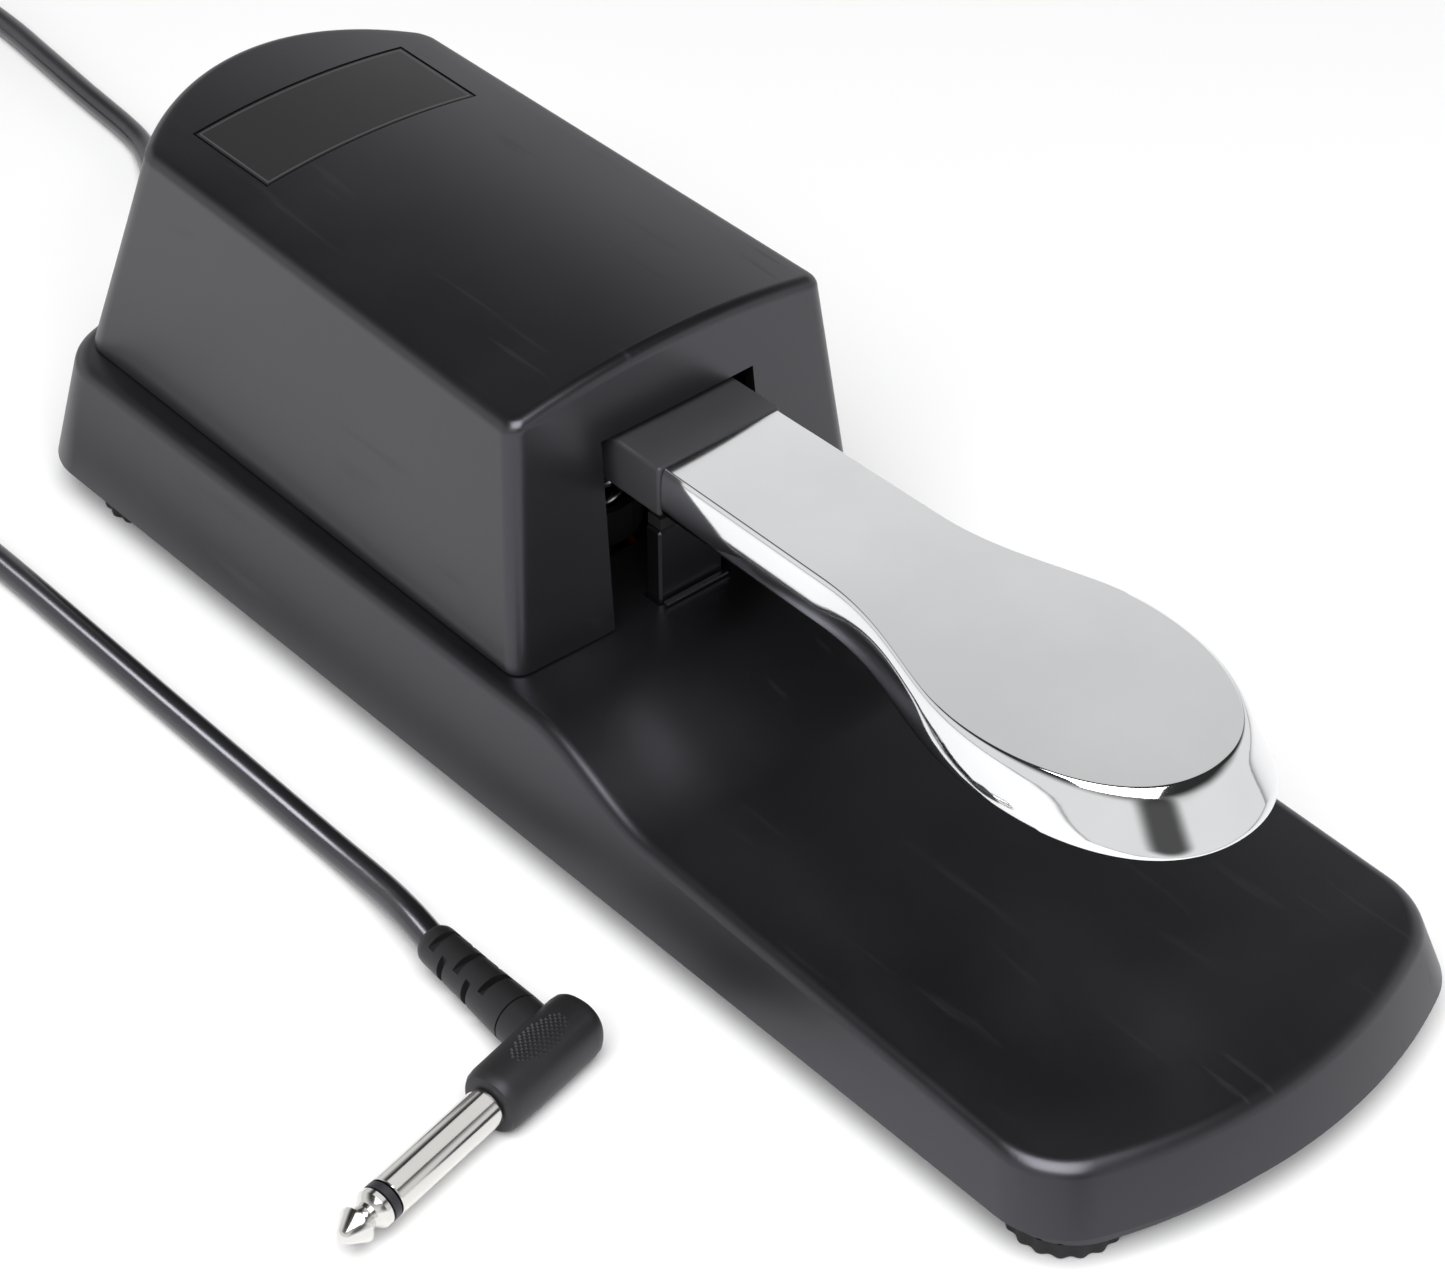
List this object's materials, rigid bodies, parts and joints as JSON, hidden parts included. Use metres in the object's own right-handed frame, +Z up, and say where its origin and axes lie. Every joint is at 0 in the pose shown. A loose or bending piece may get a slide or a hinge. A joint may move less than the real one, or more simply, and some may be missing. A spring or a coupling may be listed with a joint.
{
  "type": "sustain pedal",
  "caption": "Piano-style sustain pedal: chrome foot lever in a crowned black housing on a long weighted base, with cord and right-angle phone plug.",
  "frame": {"origin": "middle of the pedal's footprint (free cord and plug left out), on the surface that its rubber feet stand on", "axes": "+X across the pedal, -Y towards the player's toe end, +Y towards the cord outlet, +Z up"},
  "size_m": [0.1544, 0.4482, 0.075],
  "materials": {
    "housing_abs": "satin moulded black ABS with a very fine grain",
    "base_abs": "satin moulded black ABS with a very fine grain",
    "label_film": "blank matt black label film",
    "black_steel": "black semi-matt paint on pressed steel",
    "chrome": "polished chrome plate on a die casting",
    "zinc_steel": "zinc-plated steel",
    "spring_steel": "bright spring steel",
    "rubber": "matt black rubber",
    "nylon": "black nylon",
    "switch_plastic": "black phenolic switch moulding",
    "slider_plastic": "grey plastic",
    "cord_pvc": "black semi-gloss PVC sheath",
    "plug_moulding": "matt black moulded PVC",
    "nickel": "bright nickel plate",
    "wire_red": "red PVC insulation"
  },
  "bodies": {
    "base": {"base_shell": "base_abs", "bottom_plate": "zinc_steel", "top_housing": "housing_abs", "label_plate": "label_film", "pivot_bracket": "zinc_steel", "bracket_rivet_left": "zinc_steel", "bracket_rivet_right": "zinc_steel", "pivot_shaft": "zinc_steel", "shaft_clip_left": "spring_steel", "shaft_clip_right": "spring_steel", "spring_seat": "nylon", "return_spring": "spring_steel", "stop_post": "base_abs", "lower_stop_pad": "rubber", "upper_stop_pad": "rubber", "stop_clip": "spring_steel", "switch_body": "switch_plastic", "switch_bracket": "zinc_steel", "switch_screw_front": "zinc_steel", "switch_screw_rear": "zinc_steel", "polarity_switch": "switch_plastic", "cord_tail": "cord_pvc", "cord_clamp": "nylon", "wire_to_switch": "cord_pvc", "wire_to_polarity": "wire_red", "cord_gland": "cord_pvc", "cord_rear": "cord_pvc", "cord_plug_end": "cord_pvc", "cord_coil": "cord_pvc", "plug_relief": "plug_moulding", "plug_body": "plug_moulding", "plug_sleeve": "nickel", "plug_insulator": "switch_plastic", "plug_tip": "nickel", "foot_front_left": "rubber", "foot_screw_front_left": "zinc_steel", "plate_screw_front_left": "zinc_steel", "housing_screw_front_left": "zinc_steel", "foot_front_right": "rubber", "foot_screw_front_right": "zinc_steel", "plate_screw_front_right": "zinc_steel", "housing_screw_front_right": "zinc_steel", "foot_rear_left": "rubber", "foot_screw_rear_left": "zinc_steel", "plate_screw_rear_left": "zinc_steel", "housing_screw_rear_left": "zinc_steel", "foot_rear_right": "rubber", "foot_screw_rear_right": "zinc_steel", "plate_screw_rear_right": "zinc_steel", "housing_screw_rear_right": "zinc_steel"},
    "pedal": {"lever_arm": "black_steel", "foot_plate": "chrome", "foot_plate_screw_rear": "zinc_steel", "foot_plate_screw_front": "zinc_steel", "bush_left": "nylon", "bush_right": "nylon"},
    "leaf": {"switch_leaf": "spring_steel"},
    "plunger": {"switch_plunger": "nylon"},
    "polarity": {"polarity_slider": "slider_plastic"}
  },
  "joints": [
    {"name": "pedal_press", "type": "hinge", "parent": "base", "child": "pedal", "pos_m": [0, 0.091, 0.051], "axis": [1, 0, 0], "range_deg": [0, 4.5], "stiffness_Nm_per_rad": 8, "springref_deg": -8.59, "deforming": ["return_spring"]},
    {"name": "leaf_follow", "type": "hinge", "parent": "base", "child": "leaf", "pos_m": [0, 0.067, 0.055], "axis": [1, 0, 0], "range_deg": [0, 10.6]},
    {"name": "plunger_follow", "type": "slide", "parent": "base", "child": "plunger", "axis": [0, 0, -1], "range_m": [0, 0.0009]},
    {"name": "polarity_slide", "type": "slide", "parent": "base", "child": "polarity", "axis": [0, 1, 0], "range_m": [0, 0.0028]}
  ],
  "couplings": [
    {"joint": "leaf_follow", "follows": "pedal_press", "ratio": 2.33},
    {"joint": "plunger_follow", "follows": "pedal_press", "m_per_rad": 0.0102}
  ]
}
